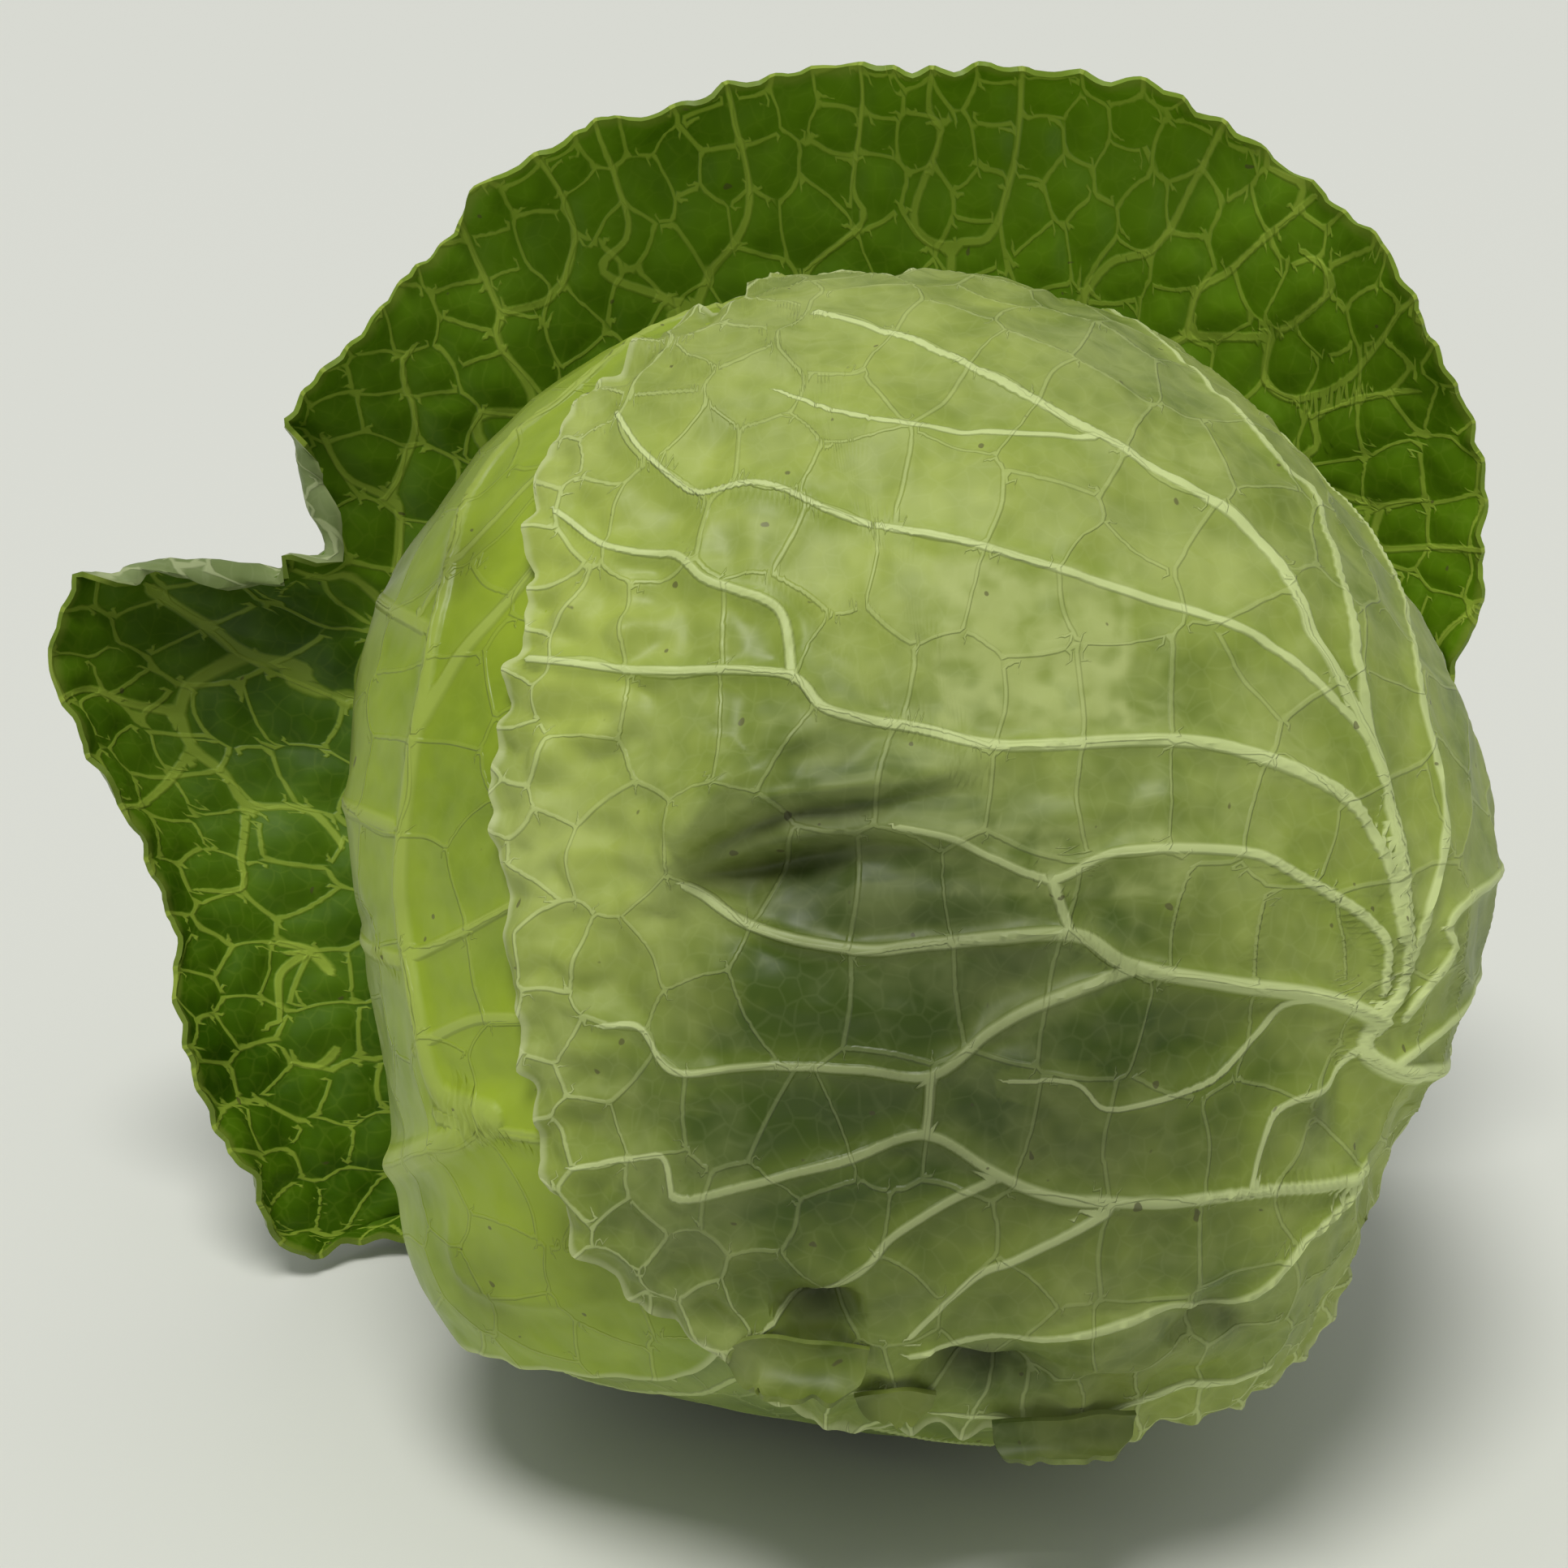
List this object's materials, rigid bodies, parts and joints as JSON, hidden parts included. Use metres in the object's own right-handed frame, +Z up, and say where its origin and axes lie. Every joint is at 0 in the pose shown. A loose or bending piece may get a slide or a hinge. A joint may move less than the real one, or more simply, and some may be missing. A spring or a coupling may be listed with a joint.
{
  "type": "white cabbage",
  "caption": "Tight round head of cabbage in its wrapper leaves, lying on a small flat spot, with a dark veined outer leaf standing open behind it and a short cut stem.",
  "frame": {"origin": "middle of the flat spot that the head rests on", "axes": "+Z up out of the surface that the head rests on, -Y towards the side that shows the cover leaf, +X towards the side that the leaves grow from"},
  "size_m": [0.2745, 0.2098, 0.2273],
  "materials": {
    "heart_leaf": "satin",
    "cut_stem": "matte",
    "waxy_leaf": "satin, with a waxy bloom",
    "yellow_leaf": "satin",
    "shaded_leaf": "satin",
    "dark_leaf": "satin"
  },
  "bodies": {
    "root": {"heart": "heart_leaf", "stem": "cut_stem", "front_leaf": "waxy_leaf", "side_leaf": "yellow_leaf", "lower_leaf": "shaded_leaf", "under_leaf": "shaded_leaf", "back_leaf_right": "waxy_leaf", "back_leaf_left": "shaded_leaf", "outer_leaf": "dark_leaf"}
  },
  "joints": []
}
